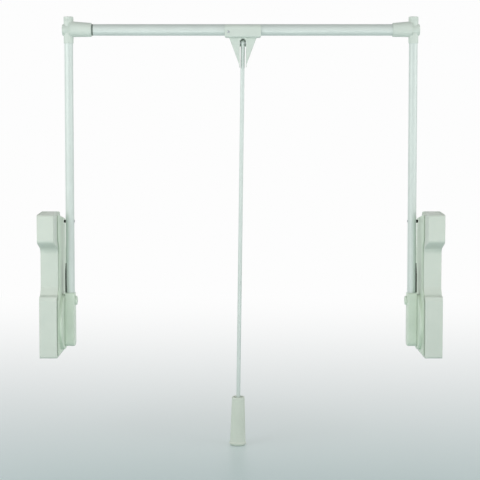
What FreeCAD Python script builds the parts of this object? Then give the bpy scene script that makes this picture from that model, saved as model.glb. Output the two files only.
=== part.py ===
import FreeCAD, Part
import math
import os

# Pull down closet rod (wardrobe lift).  Two spring housings screw to the side
# walls of a cabinet.  A lever and a tube arm swing on each housing, the arms
# carry a telescopic hanging rod, and a pull rod with a grip hangs from its middle.
#
# Millimetres.  The origin is the point where the pivot axis meets the left wall:
# +X runs along the pivot axis to the right wall, -Y is the front of the cabinet,
# +Z is up.  Everything on the right is the left piece mirrored.

# ---- whole product -------------------------------------------------------
CABINET_WIDTH = 830.0      # inside width of the narrowest cabinet, rod pushed in
SWING_RADIUS = 611.0       # pivot axis to the axis of the hanging rod
SWING_LIMIT = 105.0        # degrees from upright to fully lowered
SEAT_GAP = 0.3             # between faces that meet across a joint
FIT_GAP = 0.05             # radial gap of a shaft or a tube in its bore
HOLE_GAP = 0.3             # radial gap of a screw in its clearance hole

# ---- tubes ---------------------------------------------------------------
ARM_DIA = 18.0
ARM_WALL = 1.5
ROD_DIA = 24.0
ROD_WALL = 1.2
SLIDE_GAP = 0.3            # radial gap between the two rod tubes
INNER_ROD_WALL = 1.5
INNER_ROD_LENGTH = 560.0

# ---- housing outline, seen from the side ---------------------------------
HOUSING_DEPTH = 36.8       # along X, without the side cover
FRONT_FALL = 2.8           # how much shallower it is at the front, where the side face has draft
DRAFT_BACK = -57.0         # the draft ends here, clear of the boss window
WALL = 2.5                 # thickness of the moulded walls
HEAD_FRONT = -88.0
WAIST_FRONT = -42.0
LOBE_FRONT = -66.0
HEAD_BACK = 70.0
LOBE_BACK = 100.0
HOUSING_TOP = 231.0
HOUSING_BOTTOM = -67.5
CROWN_RISE = 2.8           # the head's top rises this much to its back edge
CROWN_BACK = -14.0
BODY_TOP = 222.0           # top of the housing behind the head
BODY_TOP_Y = -4.0
TOP_FALL = 18.0            # from the head's top to the upper back corner
HEAD_CHIN = 174.0          # lower front edge of the head
CHIN_RISE = 17.0           # slope of the head's underside
SHOULDER_TOP = 77.0        # where the waist starts to swell into the lobe
SHOULDER_SWELL = 9.0
SHOULDER_LEDGE = 62.0
SHOULDER_DROP = 10.0
BACK_BEND_TOP = 160.0
BACK_BEND_BOTTOM = 58.0
LEDGE_RUN = 3.0            # the ledge ends this far behind the lobe's front
LEDGE_TILT = 2.0
TOP_CHAMFER_FRONT = 4.3    # along the top edge that faces the room, widening to the back
TOP_CHAMFER_BACK = 6.9
EDGE_ROUND = 2.0

# ---- roundings of that outline -------------------------------------------
TOE_ROUND = 5.0            # lower front corner
HEEL_ROUND = 14.0          # lower back corner
LOW_BEND_ROUND = 30.0
HIGH_BEND_ROUND = 40.0
NAPE_ROUND = 10.0          # upper back corner
BODY_TOP_ROUND = 4.0
CROWN_ROUND = 3.0
BROW_ROUND = 6.0           # upper front corner
CHIN_ROUND = 8.0
THROAT_ROUND = 16.0        # under the head
SHOULDER_ROUND = 12.0
LEDGE_INNER_ROUND = 2.5
LEDGE_OUTER_ROUND = 3.0
LOBE_ROUND = 5.0

# ---- shallow pocket in the head's top ------------------------------------
POCKET_START = 1.8         # wall to the pocket
POCKET_WIDTH = 11.5
POCKET_FRONT = -83.0
POCKET_BACK = -22.0
POCKET_DEPTH = 1.2          # at its front
POCKET_ROUND = 3.0

# ---- steel chassis plate inside the housing ------------------------------
CHASSIS_THICK = 2.5
CHASSIS_GAP = 0.4
SCREW_HOLE_R = 2.6         # wall screws, on the 32 mm cabinet grid
SCREW_ROW_Y = -8.0
SCREW_SPACING_Y = 64.0
SCREW_ROW_Z = -46.0
SCREW_SPACING_Z = 224.0
HUB_R = 11.5
HUB_LENGTH = 9.5
POST_R = 4.2               # posts inside the housing that take the shell screws
POST_PLACES = ((-72.0, 200.0), (58.0, 120.0), (84.0, -50.0))
SHELL_SCREW_R = 1.9
SHELL_SCREW_LENGTH = 14.0
SHELL_HEAD_R = 3.6
SHELL_HEAD_THICK = 1.5

# ---- side cover with the round pivot boss --------------------------------
COVER_THICK = 2.2
COVER_HEAD_FRONT = -55.0
COVER_WAIST_FRONT = -40.0
COVER_LOBE_FRONT = -62.0
COVER_TOP_FRONT = 229.5
COVER_TOP_BACK = 214.0
COVER_BACK = 54.0          # upper back edge
COVER_CHIN = 178.0
COVER_INSET = 5.0
COVER_ROUND = 3.0
COVER_HEEL_ROUND = 12.0
COVER_LIP = 1.4            # the rim stands off the shell and leaves a shadow gap
COVER_LIP_DEPTH = 1.6
BOSS_R = 58.0
BOSS_RISE = 8.8
BOSS_ROUND = 1.5
BOSS_WINDOW_R = 50.0

# ---- pivot ---------------------------------------------------------------
SHAFT_R = 7.0
BUSH_WALL = 1.5
BUSH_FLANGE = 1.0
SHAFT_START = 3.2
CRANK_THICK = 5.0
CRANK_HUB_R = 10.5
CRANK_R = 36.0             # pivot axis to the crank pin
CRANK_ANGLE = 40.0         # degrees above level, towards the front, arms up
CRANK_ARM_HALF = 7.0
CRANK_PIN_R = 3.0
DAMPER_R = 38.0

# ---- springs -------------------------------------------------------------
SPRING_R = 5.0
SPRING_WIRE = 1.8
SPRING_OFFSET = 8.0        # each spring from the middle of the crank
ANCHOR_Z = 205.0
HOOK_R = 5.2
HOOK_STRETCH = 12.0        # from the pin to the first coil
HOOK_INSET = 0.2           # stem of the hook, inside the coil's outside
PIN_TAIL = 1.0             # pin beyond the springs
STOP_SIZE = 9.0
STOP_INSET = 8.0           # from the crank pin's circle to the stop

# ---- lever ---------------------------------------------------------------
LEVER_GAP = 0.4            # boss face to lever
LEVER_WIDTH = 20.0
ARM_INSET = 10.2           # outer face of the lever to the axis of the arm
LEVER_BOTTOM = -51.0
LEVER_TOP = 62.0
LEVER_HALF_DEPTH = 15.0
LEVER_NECK_HALF = 12.6
LEVER_NECK_Z = 20.0
LEVER_ROUND = 2.5
LEVER_BACK_ROUND = 0.6     # on the side of the boss
LEVER_FOOT_ROUND = 10.0
LEVER_NECK_ROUND = 14.0
LEVER_TOP_ROUND = 4.0
LEVER_MOUTH = 1.2          # countersink round the tube, at the lever's top
ARM_FOOT_Z = 22.0          # lower end of the arm tube, inside the lever
SHAFT_COVER = 4.0          # lever metal beyond the end of the shaft
CLAMP_Z = 45.0
CLAMP_HEAD_R = 9.3
CLAMP_HEAD_THICK = 4.6
CLAMP_HEAD_ROUND = 2.0
CLAMP_SCREW_R = 3.0

# ---- side bumper on the arm ----------------------------------------------
BUMPER_Z = 212.0
BUMPER_R = 3.2
BUMPER_THICK = 3.8
BUMPER_STEM_R = 1.6
RIVET_R = 2.6
RIVET_THICK = 0.9
RIVET_ROUND = 0.5
BUMPER_ROUND = 1.0
BUMPER_SEAT = 1.0          # rubber that hugs the tube

# ---- rubber strip on the outer side of the arm, above the lever ----------
STRIP_BOTTOM = 62.5
STRIP_FULL_TOP = 99.0      # full thickness up to here
STRIP_TOP = 124.0          # runs out here
STRIP_THICK = 1.5
STRIP_TIP = 0.4
STRIP_HALF = 4.5

# ---- corner connector ----------------------------------------------------
SOCKET_WALL = 1.15
SOCKET_BELOW = 28.0        # below the axis of the rod
SOCKET_ABOVE = 19.5
CAP_THICK = 7.8
SLEEVE_LENGTH = 48.0       # axis of the arm to the mouth of the left sleeve, which also takes the reducer
PLAIN_LENGTH = 43.8        # and of the right sleeve, which grips the rod itself
MOUTH_CHAMFER = 0.8
SLEEVE_MOUTH_R = 14.4
SLEEVE_ROOT_R = 16.4
SLEEVE_ROOT_LIFT = 1.5
SLEEVE_ROOT_REACH = 3.8    # axis of the arm to where the sleeve's taper starts
ROD_STOP_REACH = 11.8      # axis of the arm to the inner end of the bore that takes the rod
CROSS_R = 12.0
CROSS_REACH = 12.8         # axis of the arm to the outer face
CROSS_ROUND = 2.0
SOCKET_CHAMFER = 0.6
CAP_ROUND = 1.5
CAP_PLUG = 8.0             # reach of the cap's plug into the tube
LOCK_SCREW_SUNK = 0.6
CAP_GROOVE = 0.6           # chamfer under the cap, where it meets the connector
LOCK_SCREW_R = 2.5
REDUCER_FLANGE = 3.2

# ---- bracket of the pull rod ---------------------------------------------
BRACKET_X = 418.9
SADDLE_WIDTH = 75.0
SADDLE_FRONT = 15.5        # rod axis to the front face
SADDLE_BELOW = 15.9
SADDLE_ABOVE = 10.8
SADDLE_ROUND = 3.0
SADDLE_CROWN = 9.0         # the front and back curve in over the rod
SADDLE_END_ROUND = 1.0
LUG_FLARE = 4.0            # fillet between the saddle and the lug
LUG_TOP_WIDTH = 57.2
LUG_TIP_WIDTH = 15.6
LUG_SHOULDER = 71.5        # below the rod axis
LUG_TIP = 80.0
LUG_FRONT = 7.5
LUG_BACK = 7.5
LUG_SHOULDER_ROUND = 3.0
LUG_TIP_ROUND = 5.0
SLOT_WIDTH = 12.4
SLOT_OPEN = 34.0           # below the rod axis the slot has no back wall
SLOT_TOP = 18.6            # below the rod axis
SLOT_BACK = 5.5
PIN_DROP = 27.0            # rod axis to the pin
PIN_R = 2.0
PIN_LENGTH = 30.0
SADDLE_SCREW_SHIFT = -29.8
SADDLE_SCREW_DROP = 4.9
SADDLE_SCREW_R = 2.4
SADDLE_SCREW_PROUD = 0.8

# ---- pull rod and grip ---------------------------------------------------
PULL_R = 4.2
PULL_LEAN = 0.74           # degrees, the play of the eye lets the rod hang askew
EYE_R = 4.6                # ball on the upper end, drilled for the pin
GRIP_START = 744.0         # pin to the top of the grip, along the rod
GRIP_LENGTH = 102.6
GRIP_TOP_R = 13.4
GRIP_LOW_R = 16.4
GRIP_FOOT_R = 18.5
GRIP_FOOT_HEIGHT = 9.0
GRIP_FOOT_RIM = 4.6        # the widest ring stands this high over the lower end
GRIP_FOOT_TUCK = 3.6       # the lower end is narrower than that ring by this much
GRIP_RIM_ROUND = 1.2
GRIP_DISH_DEPTH = 3.0
GRIP_DISH_R = 10.4
GRIP_DISH_SLOPE = 2.0
GRIP_BORE_DEPTH = 60.0

V = FreeCAD.Vector
X_AXIS = V(1, 0, 0)
Y_AXIS = V(0, 1, 0)
Z_AXIS = V(0, 0, 1)

# ---- places that follow from the sizes -----------------------------------
FRONT_DEPTH = HOUSING_DEPTH - FRONT_FALL
COVER_X = HOUSING_DEPTH + COVER_THICK
BOSS_X = HOUSING_DEPTH + BOSS_RISE
LEVER_X = BOSS_X + LEVER_GAP
LEVER_INNER_X = LEVER_X + LEVER_WIDTH
ARM_X = LEVER_X + ARM_INSET
SLEEVE_MOUTH_X = ARM_X + SLEEVE_LENGTH
PLAIN_MOUTH_X = ARM_X + PLAIN_LENGTH
SLEEVE_ROOT_X = ARM_X + SLEEVE_ROOT_REACH
ROD_STOP_X = ARM_X + ROD_STOP_REACH
CROSS_OUTER_X = ARM_X - CROSS_REACH
INNER_ROD_DIA = ROD_DIA - 2 * (ROD_WALL + SLIDE_GAP)
ARM_TOP_Z = SWING_RADIUS + SOCKET_ABOVE
BUSH_R = SHAFT_R + FIT_GAP + BUSH_WALL
HUB_END_X = CHASSIS_THICK + HUB_LENGTH
CRANK_X = HUB_END_X + BUSH_FLANGE + SEAT_GAP
CRANK_MID_X = CRANK_X + CRANK_THICK / 2
PIN_Y = -CRANK_R * math.cos(math.radians(CRANK_ANGLE))
PIN_Z = CRANK_R * math.sin(math.radians(CRANK_ANGLE))
EYE_Z = SWING_RADIUS - PIN_DROP


def bar(start, end, radius):
    """Round bar between two points."""
    axis = V(*end) - V(*start)
    return Part.makeCylinder(radius, axis.Length, V(*start), axis)


def tube(start, end, radius, bore):
    """Round tube between two points."""
    return bar(start, end, radius).cut(bar(start, end, bore))


def rounded_outline(corners, place):
    """Closed wire through (u, v, radius) corners, where place(u, v) gives the point in space."""
    edges = []
    joins = []
    count = len(corners)
    for i, (u, v, radius) in enumerate(corners):
        here = V(u, v, 0)
        before = V(corners[i - 1][0], corners[i - 1][1], 0) - here
        after = V(corners[(i + 1) % count][0], corners[(i + 1) % count][1], 0) - here
        before.normalize()
        after.normalize()
        half = before.getAngle(after) / 2
        reach = radius / math.tan(half)
        middle = before + after
        middle.normalize()
        start = here + before * reach
        end = here + after * reach
        crown = here + middle * (radius / math.sin(half) - radius)
        joins.append((start, crown, end, radius))
    for i, (start, crown, end, radius) in enumerate(joins):
        following = joins[(i + 1) % count][0]
        if radius > 0:
            edges.append(Part.Arc(place(start), place(crown), place(end)).toShape())
        if (following - end).Length > 1e-6:
            edges.append(Part.LineSegment(place(end), place(following)).toShape())
    return Part.Wire(edges)


def side_slab(corners, x_start, x_end):
    """Slab along X with an outline given in Y and Z."""
    wire = rounded_outline(corners, lambda p: V(x_start, p.x, p.y))
    return Part.Face(wire).extrude(X_AXIS * (x_end - x_start))


def front_slab(corners, y_start, y_end):
    """Slab along Y with an outline given in X and Z."""
    wire = rounded_outline(corners, lambda p: V(p.x, y_start, p.y))
    return Part.Face(wire).extrude(Y_AXIS * (y_end - y_start))


def edges_at_x(shape, x):
    """Edges that lie wholly in the plane X = x."""
    return [e for e in shape.Edges if all(abs(v.X - x) < 1e-4 for v in e.Vertexes)
            and abs(e.CenterOfMass.x - x) < 1e-4]


def housing_corners(inset=0.0):
    """Outline of the housing from the side, moved inwards by inset."""
    i = inset
    return [
        (LOBE_FRONT + i, HOUSING_BOTTOM + i, TOE_ROUND),
        (LOBE_BACK - i, HOUSING_BOTTOM + i, HEEL_ROUND),
        (LOBE_BACK - i, BACK_BEND_BOTTOM, LOW_BEND_ROUND),
        (HEAD_BACK - i, BACK_BEND_TOP, HIGH_BEND_ROUND),
        (HEAD_BACK - i, HOUSING_TOP - TOP_FALL - i, NAPE_ROUND),
        (BODY_TOP_Y - i, BODY_TOP - i, BODY_TOP_ROUND),
        (CROWN_BACK - i, HOUSING_TOP + CROWN_RISE - i, CROWN_ROUND),
        (HEAD_FRONT + i, HOUSING_TOP - i, BROW_ROUND),
        (HEAD_FRONT + i, HEAD_CHIN + i, CHIN_ROUND),
        (WAIST_FRONT + i, HEAD_CHIN - CHIN_RISE + i, THROAT_ROUND),
        (WAIST_FRONT + i, SHOULDER_TOP, SHOULDER_ROUND),
        (WAIST_FRONT + i - SHOULDER_SWELL, SHOULDER_LEDGE - i, LEDGE_INNER_ROUND),
        (LOBE_FRONT + i + LEDGE_RUN, SHOULDER_LEDGE - LEDGE_TILT - i, LEDGE_OUTER_ROUND),
        (LOBE_FRONT + i, SHOULDER_LEDGE - SHOULDER_DROP - i, LOBE_ROUND),
    ]


def top_chamfer():
    """Wedge that is cut off the top edge on the room side; it widens towards the back."""
    ends = []
    for y, top, size in ((HEAD_FRONT, HOUSING_TOP, TOP_CHAMFER_FRONT),
                         (CROWN_BACK, HOUSING_TOP + CROWN_RISE, TOP_CHAMFER_BACK)):
        low = V(HOUSING_DEPTH + size, y, top - 2 * size)
        high = V(HOUSING_DEPTH - 2 * size, y, top + size)
        far = V(HOUSING_DEPTH + size, y, top + size)
        ends.append(Part.makePolygon([low, high, far, low]))
    return Part.makeLoft(ends, True, True)


def side_draft():
    """Wedge that is cut off the front part of the side face to give it draft."""
    wire = Part.makePolygon([
        V(FRONT_DEPTH, HEAD_FRONT, HOUSING_BOTTOM),
        V(HOUSING_DEPTH, DRAFT_BACK, HOUSING_BOTTOM),
        V(2 * HOUSING_DEPTH, DRAFT_BACK, HOUSING_BOTTOM),
        V(2 * HOUSING_DEPTH, HEAD_FRONT, HOUSING_BOTTOM),
        V(FRONT_DEPTH, HEAD_FRONT, HOUSING_BOTTOM),
    ])
    return Part.Face(wire).extrude(Z_AXIS * (HOUSING_TOP + CROWN_RISE - HOUSING_BOTTOM))


def pocket():
    """Shallow pocket with round corners, cut into the head's top beside the wall."""
    height = 2 * POCKET_DEPTH
    block = Part.makeBox(POCKET_WIDTH, POCKET_BACK - POCKET_FRONT, height,
                         V(POCKET_START, POCKET_FRONT, HOUSING_TOP - POCKET_DEPTH))
    upright = [e for e in block.Edges if abs(e.BoundBox.ZLength - height) < 1e-4]
    block = block.makeFillet(POCKET_ROUND, upright)
    tilt = math.degrees(math.atan2(CROWN_RISE, CROWN_BACK - HEAD_FRONT))
    block.rotate(V(0, HEAD_FRONT, HOUSING_TOP), X_AXIS, tilt)
    return block


def housing_shell():
    """Moulded shell: open towards the wall, closed towards the room, with screw posts."""
    body = side_slab(housing_corners(), 0, HOUSING_DEPTH)
    body = body.cut(side_draft())
    rim = [e for e in body.Edges if all(v.X > FRONT_DEPTH - 1e-4 for v in e.Vertexes)
           and not (abs(e.BoundBox.YLength) < 1e-4 and abs(e.Vertexes[0].Y - DRAFT_BACK) < 1e-4)]
    body = body.makeFillet(EDGE_ROUND, rim)
    body = body.cut([top_chamfer(), pocket()])
    hollow = side_slab(housing_corners(WALL), 0, HOUSING_DEPTH - WALL)
    slope = top_chamfer()
    slope.translate(V(-WALL, 0, -WALL / 2))
    draft = side_draft()
    draft.translate(V(-WALL, 0, 0))
    body = body.cut(hollow.cut([slope, draft]))
    body = body.cut(bar((0, 0, 0), (HOUSING_DEPTH, 0, 0), BOSS_WINDOW_R))
    for y, z in POST_PLACES:
        post = bar((CHASSIS_THICK, y, z), (HOUSING_DEPTH - WALL, y, z), POST_R)
        body = body.fuse(post)
    body = body.removeSplitter()
    for y, z in POST_PLACES:
        pilot = bar((0, y, z), (CHASSIS_THICK + SHELL_SCREW_LENGTH, y, z), SHELL_SCREW_R + FIT_GAP)
        body = body.cut(pilot)
    return body


def wall_screw_places():
    """Y and Z of the four wall screws."""
    return [(SCREW_ROW_Y + i * SCREW_SPACING_Y, SCREW_ROW_Z + j * SCREW_SPACING_Z)
            for i in (0, 1) for j in (0, 1)]


def chassis():
    """Steel plate that is screwed to the wall, with the hub for the pivot bush."""
    plate = side_slab(housing_corners(WALL + CHASSIS_GAP), 0, CHASSIS_THICK)
    plate = plate.fuse(bar((CHASSIS_THICK, 0, 0), (HUB_END_X, 0, 0), HUB_R)).removeSplitter()
    plate = plate.cut(bar((CHASSIS_THICK, 0, 0), (HUB_END_X, 0, 0), BUSH_R + FIT_GAP))
    for y, z in wall_screw_places():
        plate = plate.cut(bar((0, y, z), (CHASSIS_THICK, y, z), SCREW_HOLE_R))
    for y, z in POST_PLACES:
        plate = plate.cut(bar((0, y, z), (CHASSIS_THICK, y, z), SHELL_SCREW_R + HOLE_GAP))
        plate = plate.cut(bar((0, y, z), (SHELL_HEAD_THICK + FIT_GAP, y, z), SHELL_HEAD_R + HOLE_GAP))
    return plate


def shell_screws():
    """Screws that hold the shell on the chassis, driven from the wall side."""
    screws = []
    for y, z in POST_PLACES:
        head = bar((0.2, y, z), (SHELL_HEAD_THICK, y, z), SHELL_HEAD_R)
        shank = bar((SHELL_HEAD_THICK, y, z), (SHELL_SCREW_LENGTH, y, z), SHELL_SCREW_R)
        screws.append(head.fuse(shank).removeSplitter())
    return Part.makeCompound(screws)


def cover_corners(inset=0.0):
    """Outline of the side cover, moved inwards by inset; its front follows the housing's."""
    i = COVER_INSET + inset
    j = inset
    return [
        (COVER_LOBE_FRONT + j, HOUSING_BOTTOM + i, COVER_ROUND),
        (LOBE_BACK - i, HOUSING_BOTTOM + i, COVER_HEEL_ROUND),
        (LOBE_BACK - i, BACK_BEND_BOTTOM, LOW_BEND_ROUND),
        (COVER_BACK - j, BACK_BEND_TOP, HIGH_BEND_ROUND),
        (COVER_BACK - j, COVER_TOP_BACK - j, COVER_ROUND),
        (COVER_HEAD_FRONT + j, COVER_TOP_FRONT - j, COVER_ROUND),
        (COVER_HEAD_FRONT + j, COVER_CHIN + j, COVER_ROUND),
        (COVER_WAIST_FRONT + j, HEAD_CHIN - CHIN_RISE, THROAT_ROUND),
        (COVER_WAIST_FRONT + j, SHOULDER_TOP, SHOULDER_ROUND),
        (COVER_LOBE_FRONT + j, SHOULDER_LEDGE - SHOULDER_DROP - j, LOBE_ROUND),
    ]


def side_cover():
    """Cover plate on the room side, with the hollow round boss over the damper."""
    rim = side_slab(cover_corners(), HOUSING_DEPTH + COVER_LIP, COVER_X)
    seat = side_slab(cover_corners(COVER_LIP_DEPTH), HOUSING_DEPTH, COVER_X)
    plate = rim.fuse(seat)
    boss = bar((HOUSING_DEPTH, 0, 0), (BOSS_X, 0, 0), BOSS_R)
    cover = plate.fuse(boss).removeSplitter()
    cover = cover.makeFillet(BOSS_ROUND, edges_at_x(cover, BOSS_X))
    hollow = bar((HOUSING_DEPTH, 0, 0), (BOSS_X - WALL, 0, 0), BOSS_R - WALL)
    cover = cover.cut(hollow)
    return cover.cut(bar((HOUSING_DEPTH, 0, 0), (BOSS_X, 0, 0), SHAFT_R + 2 * FIT_GAP))


def pivot_bush():
    """Flanged bush that lines the hub of the chassis."""
    sleeve = bar((CHASSIS_THICK + SEAT_GAP, 0, 0), (HUB_END_X, 0, 0), BUSH_R)
    flange = bar((HUB_END_X, 0, 0), (HUB_END_X + BUSH_FLANGE, 0, 0), HUB_R)
    bore = bar((CHASSIS_THICK, 0, 0), (CRANK_X, 0, 0), SHAFT_R + FIT_GAP)
    return sleeve.fuse(flange).removeSplitter().cut(bore)


def pivot_shaft():
    """Shaft from the chassis hub into the lever."""
    return bar((SHAFT_START, 0, 0), (LEVER_INNER_X - SHAFT_COVER, 0, 0), SHAFT_R)


def crank():
    """Plate on the shaft that the springs pull on."""
    tip_y = PIN_Y
    tip_z = PIN_Z
    hub = bar((CRANK_X, 0, 0), (CRANK_X + CRANK_THICK, 0, 0), CRANK_HUB_R)
    tip = bar((CRANK_X, tip_y, tip_z), (CRANK_X + CRANK_THICK, tip_y, tip_z), CRANK_ARM_HALF)
    arm = Part.makeBox(CRANK_THICK, CRANK_R, 2 * CRANK_ARM_HALF,
                       V(CRANK_X, -CRANK_R, -CRANK_ARM_HALF))
    arm.rotate(V(0, 0, 0), X_AXIS, -CRANK_ANGLE)
    plate = hub.fuse([tip, arm]).removeSplitter()
    plate = plate.cut(bar((CRANK_X, 0, 0), (CRANK_X + CRANK_THICK, 0, 0), SHAFT_R + FIT_GAP))
    return plate.cut(bar((CRANK_X, tip_y, tip_z), (CRANK_X + CRANK_THICK, tip_y, tip_z),
                         CRANK_PIN_R + FIT_GAP))


def crank_pin():
    """Pin through the crank that both springs hook on."""
    half = SPRING_OFFSET + SPRING_WIRE + PIN_TAIL
    return bar((CRANK_MID_X - half, PIN_Y, PIN_Z), (CRANK_MID_X + half, PIN_Y, PIN_Z), CRANK_PIN_R)


def anchor_post():
    """Post on the chassis that holds the upper ends of the springs."""
    end = CRANK_MID_X + SPRING_OFFSET + SPRING_WIRE + PIN_TAIL
    return bar((CHASSIS_THICK, PIN_Y, ANCHOR_Z), (end, PIN_Y, ANCHOR_Z), CRANK_PIN_R)


def springs():
    """Two tension springs, one on each side of the crank, drawn as sleeves with end loops."""
    pair = []
    for side in (-1, 1):
        x = CRANK_MID_X + side * SPRING_OFFSET
        low = PIN_Z + HOOK_STRETCH
        high = ANCHOR_Z - HOOK_STRETCH
        coil = tube((x, PIN_Y, low), (x, PIN_Y, high), SPRING_R, SPRING_R - SPRING_WIRE)
        loops = []
        for z, reach in ((PIN_Z, low), (ANCHOR_Z, high)):
            loop = bar((x - SPRING_WIRE / 2, PIN_Y, z), (x + SPRING_WIRE / 2, PIN_Y, z), HOOK_R)
            stem = Part.makeBox(SPRING_WIRE, 2 * (SPRING_R - HOOK_INSET), abs(reach - z),
                                V(x - SPRING_WIRE / 2, PIN_Y - SPRING_R + HOOK_INSET, min(z, reach)))
            eye = bar((x - SPRING_WIRE, PIN_Y, z), (x + SPRING_WIRE, PIN_Y, z),
                      CRANK_PIN_R + FIT_GAP)
            loops.append(loop.fuse(stem).cut(eye))
        pair.append(coil.fuse(loops).removeSplitter())
    return Part.makeCompound(pair)


def stop_block(angle, lead):
    """Rubber block that the crank's arm meets when it stands at angle, on its leading side."""
    height = CRANK_X + CRANK_THICK - CHASSIS_THICK
    block = Part.makeBox(height, STOP_SIZE, STOP_SIZE,
                         V(CHASSIS_THICK, -CRANK_R + STOP_INSET, CRANK_ARM_HALF + SEAT_GAP))
    if lead < 0:
        block = block.mirror(V(0, 0, 0), Z_AXIS)
    block.rotate(V(0, 0, 0), X_AXIS, -angle)
    return block


def stop_buffers():
    """The two rubber stops, for the arm up and the arm down."""
    return Part.makeCompound([stop_block(CRANK_ANGLE, 1), stop_block(CRANK_ANGLE - SWING_LIMIT, -1)])


def damper():
    """Rotary damper in the boss of the cover, round the shaft."""
    start = HOUSING_DEPTH - WALL
    end = BOSS_X - WALL - SEAT_GAP
    can = bar((start, 0, 0), (end, 0, 0), DAMPER_R)
    can = can.makeChamfer(1.5, edges_at_x(can, start))
    return can.cut(bar((start, 0, 0), (end, 0, 0), SHAFT_R + 2 * FIT_GAP))


def lever():
    """Cast lever: hub on the shaft below, clamp socket for the arm tube above."""
    corners = [
        (-LEVER_HALF_DEPTH, LEVER_BOTTOM, LEVER_FOOT_ROUND),
        (LEVER_HALF_DEPTH, LEVER_BOTTOM, LEVER_FOOT_ROUND),
        (LEVER_HALF_DEPTH, LEVER_NECK_Z, LEVER_NECK_ROUND),
        (LEVER_NECK_HALF, LEVER_TOP, LEVER_TOP_ROUND),
        (-LEVER_NECK_HALF, LEVER_TOP, LEVER_TOP_ROUND),
        (-LEVER_HALF_DEPTH, LEVER_NECK_Z, LEVER_NECK_ROUND),
    ]
    body = side_slab(corners, LEVER_X, LEVER_INNER_X)
    body = body.makeFillet(LEVER_ROUND, edges_at_x(body, LEVER_INNER_X))
    body = body.makeFillet(LEVER_BACK_ROUND, edges_at_x(body, LEVER_X))
    bore = ARM_DIA / 2 + FIT_GAP
    body = body.cut(bar((ARM_X, 0, ARM_FOOT_Z), (ARM_X, 0, LEVER_TOP), bore))
    body = body.cut(Part.makeCone(bore, bore + LEVER_MOUTH, LEVER_MOUTH,
                                  V(ARM_X, 0, LEVER_TOP - LEVER_MOUTH), Z_AXIS))
    body = body.cut(bar((LEVER_X, 0, 0), (LEVER_INNER_X - SHAFT_COVER, 0, 0), SHAFT_R + FIT_GAP))
    return body.cut(bar((ARM_X, 0, CLAMP_Z), (LEVER_INNER_X, 0, CLAMP_Z), CLAMP_SCREW_R + FIT_GAP))


def clamp_screw():
    """Round-headed screw that clamps the arm tube in the lever."""
    head = bar((LEVER_INNER_X, 0, CLAMP_Z), (LEVER_INNER_X + CLAMP_HEAD_THICK, 0, CLAMP_Z),
               CLAMP_HEAD_R)
    head = head.makeFillet(CLAMP_HEAD_ROUND, edges_at_x(head, LEVER_INNER_X + CLAMP_HEAD_THICK))
    tip_x = ARM_X + ARM_DIA / 2 + FIT_GAP
    return head.fuse(bar((tip_x, 0, CLAMP_Z), (LEVER_INNER_X, 0, CLAMP_Z), CLAMP_SCREW_R)).removeSplitter()


def arm_tube():
    """Arm tube from the lever to the corner connector, drilled for the bumper."""
    body = tube((ARM_X, 0, ARM_FOOT_Z), (ARM_X, 0, ARM_TOP_Z), ARM_DIA / 2, ARM_DIA / 2 - ARM_WALL)
    hole = bar((ARM_X - ARM_DIA, 0, BUMPER_Z), (ARM_X + ARM_DIA, 0, BUMPER_Z), BUMPER_STEM_R + FIT_GAP)
    return body.cut(hole)


def arm_bumper():
    """Rubber button on the outer side of the arm, with its stem through the tube."""
    face = ARM_X - ARM_DIA / 2
    button = bar((face - BUMPER_THICK, 0, BUMPER_Z), (face + BUMPER_SEAT, 0, BUMPER_Z), BUMPER_R)
    button = button.makeFillet(BUMPER_ROUND, edges_at_x(button, face - BUMPER_THICK))
    button = button.cut(bar((ARM_X, 0, BUMPER_Z - ARM_DIA), (ARM_X, 0, BUMPER_Z + ARM_DIA),
                            ARM_DIA / 2 + FIT_GAP))
    stem = bar((face - BUMPER_SEAT, 0, BUMPER_Z), (ARM_X + ARM_DIA / 2 + FIT_GAP, 0, BUMPER_Z), BUMPER_STEM_R)
    return button.fuse(stem).removeSplitter()


def bumper_rivet():
    """Domed rivet head on the inner side of the arm."""
    face = ARM_X + ARM_DIA / 2 + FIT_GAP
    head = bar((face, 0, BUMPER_Z), (face + RIVET_THICK, 0, BUMPER_Z), RIVET_R)
    return head.makeFillet(RIVET_ROUND, edges_at_x(head, face + RIVET_THICK))


def arm_strip():
    """Rubber strip that hugs the outer side of the arm and runs out to a thin tip at its top."""
    face = ARM_X - ARM_DIA / 2
    back = ARM_X
    wire = Part.makePolygon([
        V(back, -STRIP_HALF, STRIP_BOTTOM),
        V(face - STRIP_THICK, -STRIP_HALF, STRIP_BOTTOM),
        V(face - STRIP_THICK, -STRIP_HALF, STRIP_FULL_TOP),
        V(face - STRIP_TIP, -STRIP_HALF, STRIP_TOP),
        V(back, -STRIP_HALF, STRIP_TOP),
        V(back, -STRIP_HALF, STRIP_BOTTOM),
    ])
    block = Part.Face(wire).extrude(Y_AXIS * 2 * STRIP_HALF)
    return block.cut(bar((ARM_X, 0, STRIP_BOTTOM - ARM_DIA), (ARM_X, 0, STRIP_TOP + ARM_DIA),
                         ARM_DIA / 2 + FIT_GAP))


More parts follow.
